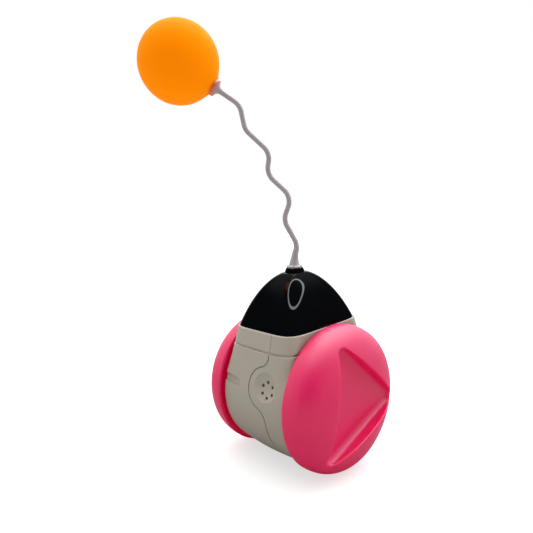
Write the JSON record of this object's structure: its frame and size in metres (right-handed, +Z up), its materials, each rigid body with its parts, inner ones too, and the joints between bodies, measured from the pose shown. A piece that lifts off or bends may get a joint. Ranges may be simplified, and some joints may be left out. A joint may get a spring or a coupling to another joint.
{
  "type": "wobble pet toy",
  "caption": "Self-righting wobble pet toy: a weighted drum body hung between big domed wheels, with a glossy hood and a springy wavy wand that carries a light ball.",
  "frame": {"origin": "on the floor midway between the wheels, straight under the axle", "axes": "+X along the axle towards the right wheel, +Z up, and the front with the sound holes faces -Y"},
  "size_m": [0.0985, 0.1018, 0.2177],
  "materials": {
    "pink_plastic": "satin",
    "putty_plastic": "satin",
    "black_gloss": "polished",
    "black_rubber": "satin",
    "wand_plastic": "satin",
    "orange_soft": "matte",
    "steel": "brushed",
    "nickel": "polished",
    "white_acetal": "satin",
    "board_green": "satin",
    "black_plastic": "matte",
    "red_cover": "satin"
  },
  "bodies": {
    "body": {"left_body_shell": "putty_plastic", "right_body_shell": "putty_plastic", "hood_cover": "black_gloss", "neck_grommet": "black_rubber", "axle": "steel", "thrust_washers": "white_acetal", "end_washers": "steel", "end_screws": "steel", "shell_screws": "steel", "counterweight": "steel", "weight_screws": "steel", "sound_case": "black_plastic", "sound_lid": "black_plastic", "module_screws": "steel", "circuit_board": "board_green", "board_parts": "black_plastic", "button_cells": "nickel", "cell_contacts": "nickel", "vibration_switch": "nickel", "switch_pin": "steel", "speaker_can": "steel", "speaker_cone": "black_plastic", "speaker_gasket": "black_rubber", "speaker_leads": "red_cover"},
    "wand_foot": {"wand_foot": "wand_plastic"},
    "wand": {"wand_rod": "wand_plastic", "ball": "orange_soft"},
    "right_wheel": {"right_wheel_cap": "pink_plastic", "right_wheel_disc": "pink_plastic", "right_wheel_bush": "white_acetal", "right_disc_screws": "steel"},
    "left_wheel": {"left_wheel_cap": "pink_plastic", "left_wheel_disc": "pink_plastic", "left_wheel_bush": "white_acetal", "left_disc_screws": "steel"}
  },
  "joints": [
    {"name": "right_wheel_spin", "type": "hinge", "parent": "body", "child": "right_wheel", "pos_m": [0, 0, 0.036], "axis": [1, 0, 0], "continuous": true},
    {"name": "left_wheel_spin", "type": "hinge", "parent": "body", "child": "left_wheel", "pos_m": [0, 0, 0.036], "axis": [1, 0, 0], "continuous": true},
    {"name": "wand_swivel", "type": "hinge", "parent": "body", "child": "wand_foot", "pos_m": [0, -0.00445, 0.09814], "axis": [0, -0.0715, 0.9974], "continuous": true},
    {"name": "wand_flex", "type": "hinge", "parent": "wand_foot", "child": "wand", "pos_m": [0.00045, -0.00466, 0.10657], "axis": [0.6639, -0.7459, -0.0535], "range_deg": [-30, 40], "stiffness_Nm_per_rad": 0.02, "springref_deg": -5.16}
  ]
}
